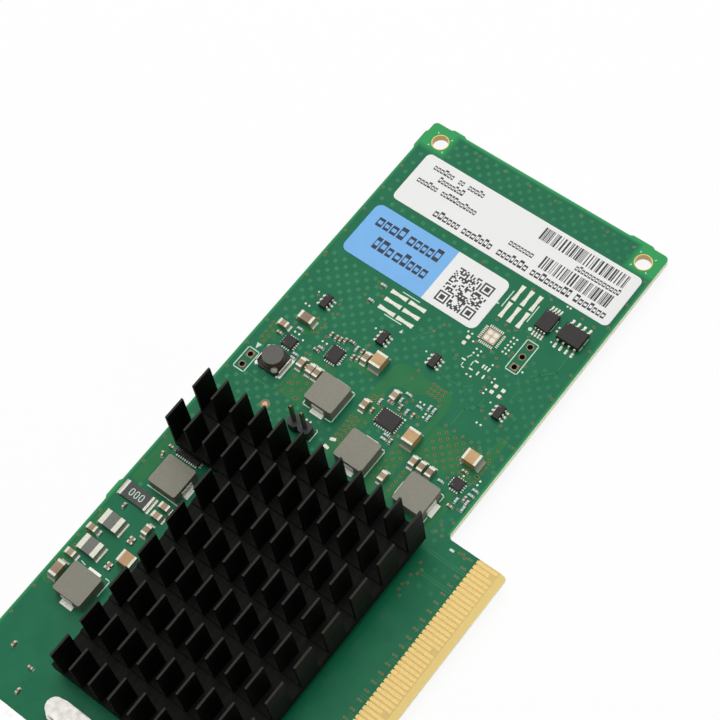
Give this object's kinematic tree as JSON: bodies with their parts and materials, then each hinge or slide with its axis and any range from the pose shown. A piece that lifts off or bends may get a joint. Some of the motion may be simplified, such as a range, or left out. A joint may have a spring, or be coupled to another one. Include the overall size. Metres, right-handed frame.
{
  "type": "network interface card",
  "caption": "Two-port wired network card for an eight-lane slot, with a pin-fin heat sink, edge contacts and a low-profile bracket.",
  "frame": {"origin": "middle of the key notch on the contact edge, half way through the board's thickness", "axes": "+X from the bracket towards the far end, +Y from the contact edge towards the top edge, +Z out of the component side"},
  "size_m": [0.178, 0.0792, 0.0184],
  "materials": {
    "board_mask": "green solder mask over glass-fibre board, satin",
    "gold_plate": "gold plated",
    "solder": "tinned, bright",
    "zinc_steel": "nickel plated sheet steel",
    "screw_steel": "plated steel",
    "black_anodised": "black anodised",
    "jack_resin": "black glass-filled resin",
    "lens_resin": "clear light pipe",
    "thermal_rubber": "soft filled silicone",
    "green_laminate": "package laminate",
    "lid_metal": "nickel plated copper lid",
    "coil_powder": "pressed iron powder, lacquered grey",
    "ferrite": "sintered ferrite, dark grey",
    "copper_wire": "enamelled copper",
    "capacitor_ceramic": "tan fired ceramic",
    "resistor_black": "black glaze",
    "chip_epoxy": "black moulding compound",
    "header_resin": "black resin",
    "white_label": "matte coated label",
    "blue_label": "matte coated label"
  },
  "bodies": {
    "root": {"bead_ends": "solder", "bracket": "zinc_steel", "bracket_screws": "screw_steel", "bulk_capacitors": "capacitor_ceramic", "bulk_ends": "solder", "ceramic_capacitors": "capacitor_ceramic", "ceramic_ends": "solder", "chip_leads": "solder", "circuit_board": "board_mask", "coil_terminals": "solder", "controller_lid": "lid_metal", "controller_substrate": "green_laminate", "crystal_can": "lid_metal", "drum_carrier": "chip_epoxy", "drum_clips": "solder", "drum_core": "ferrite", "drum_winding": "copper_wire", "edge_contacts": "gold_plate", "ferrite_beads": "ferrite", "header_base": "header_resin", "header_lands": "solder", "header_pins": "gold_plate", "heat_sink": "black_anodised", "hole_plating": "gold_plate", "identity_label": "white_label", "jack_lenses_left": "lens_resin", "jack_lenses_right": "lens_resin", "jack_moulding": "jack_resin", "jack_shield": "zinc_steel", "jack_springs": "gold_plate", "jack_tails": "solder", "jumper_ends": "solder", "jumper_link": "resistor_black", "leaded_chips": "chip_epoxy", "leadless_chips": "chip_epoxy", "option_lands": "solder", "power_coils": "coil_powder", "service_label": "blue_label", "sink_screws": "screw_steel", "sink_washers": "screw_steel", "thermal_pad": "thermal_rubber"}
  },
  "joints": []
}
